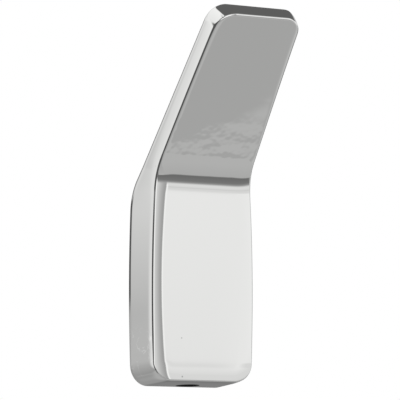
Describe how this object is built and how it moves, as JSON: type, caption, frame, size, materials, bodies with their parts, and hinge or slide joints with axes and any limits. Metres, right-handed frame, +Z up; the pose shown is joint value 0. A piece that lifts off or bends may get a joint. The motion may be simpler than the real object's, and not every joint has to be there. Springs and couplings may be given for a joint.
{
  "type": "wall hook",
  "caption": "Wall hook: a polished metal slab that stands flat on the wall and leans forward above, with a hidden wall bracket held by a grub screw.",
  "frame": {"origin": "on the wall plane, midway between the two wall screw holes of the bracket", "axes": "+X to the right as seen from the room, +Y into the wall, +Z up along the wall"},
  "size_m": [0.0296, 0.0434, 0.0901],
  "materials": {
    "chrome": "polished chrome plate",
    "bracket_steel": "zinc-plated steel",
    "screw_steel": "stainless steel, dulled"
  },
  "bodies": {
    "root": {"hook_body": "chrome", "wall_bracket": "bracket_steel", "grub_screw": "screw_steel"}
  },
  "joints": []
}
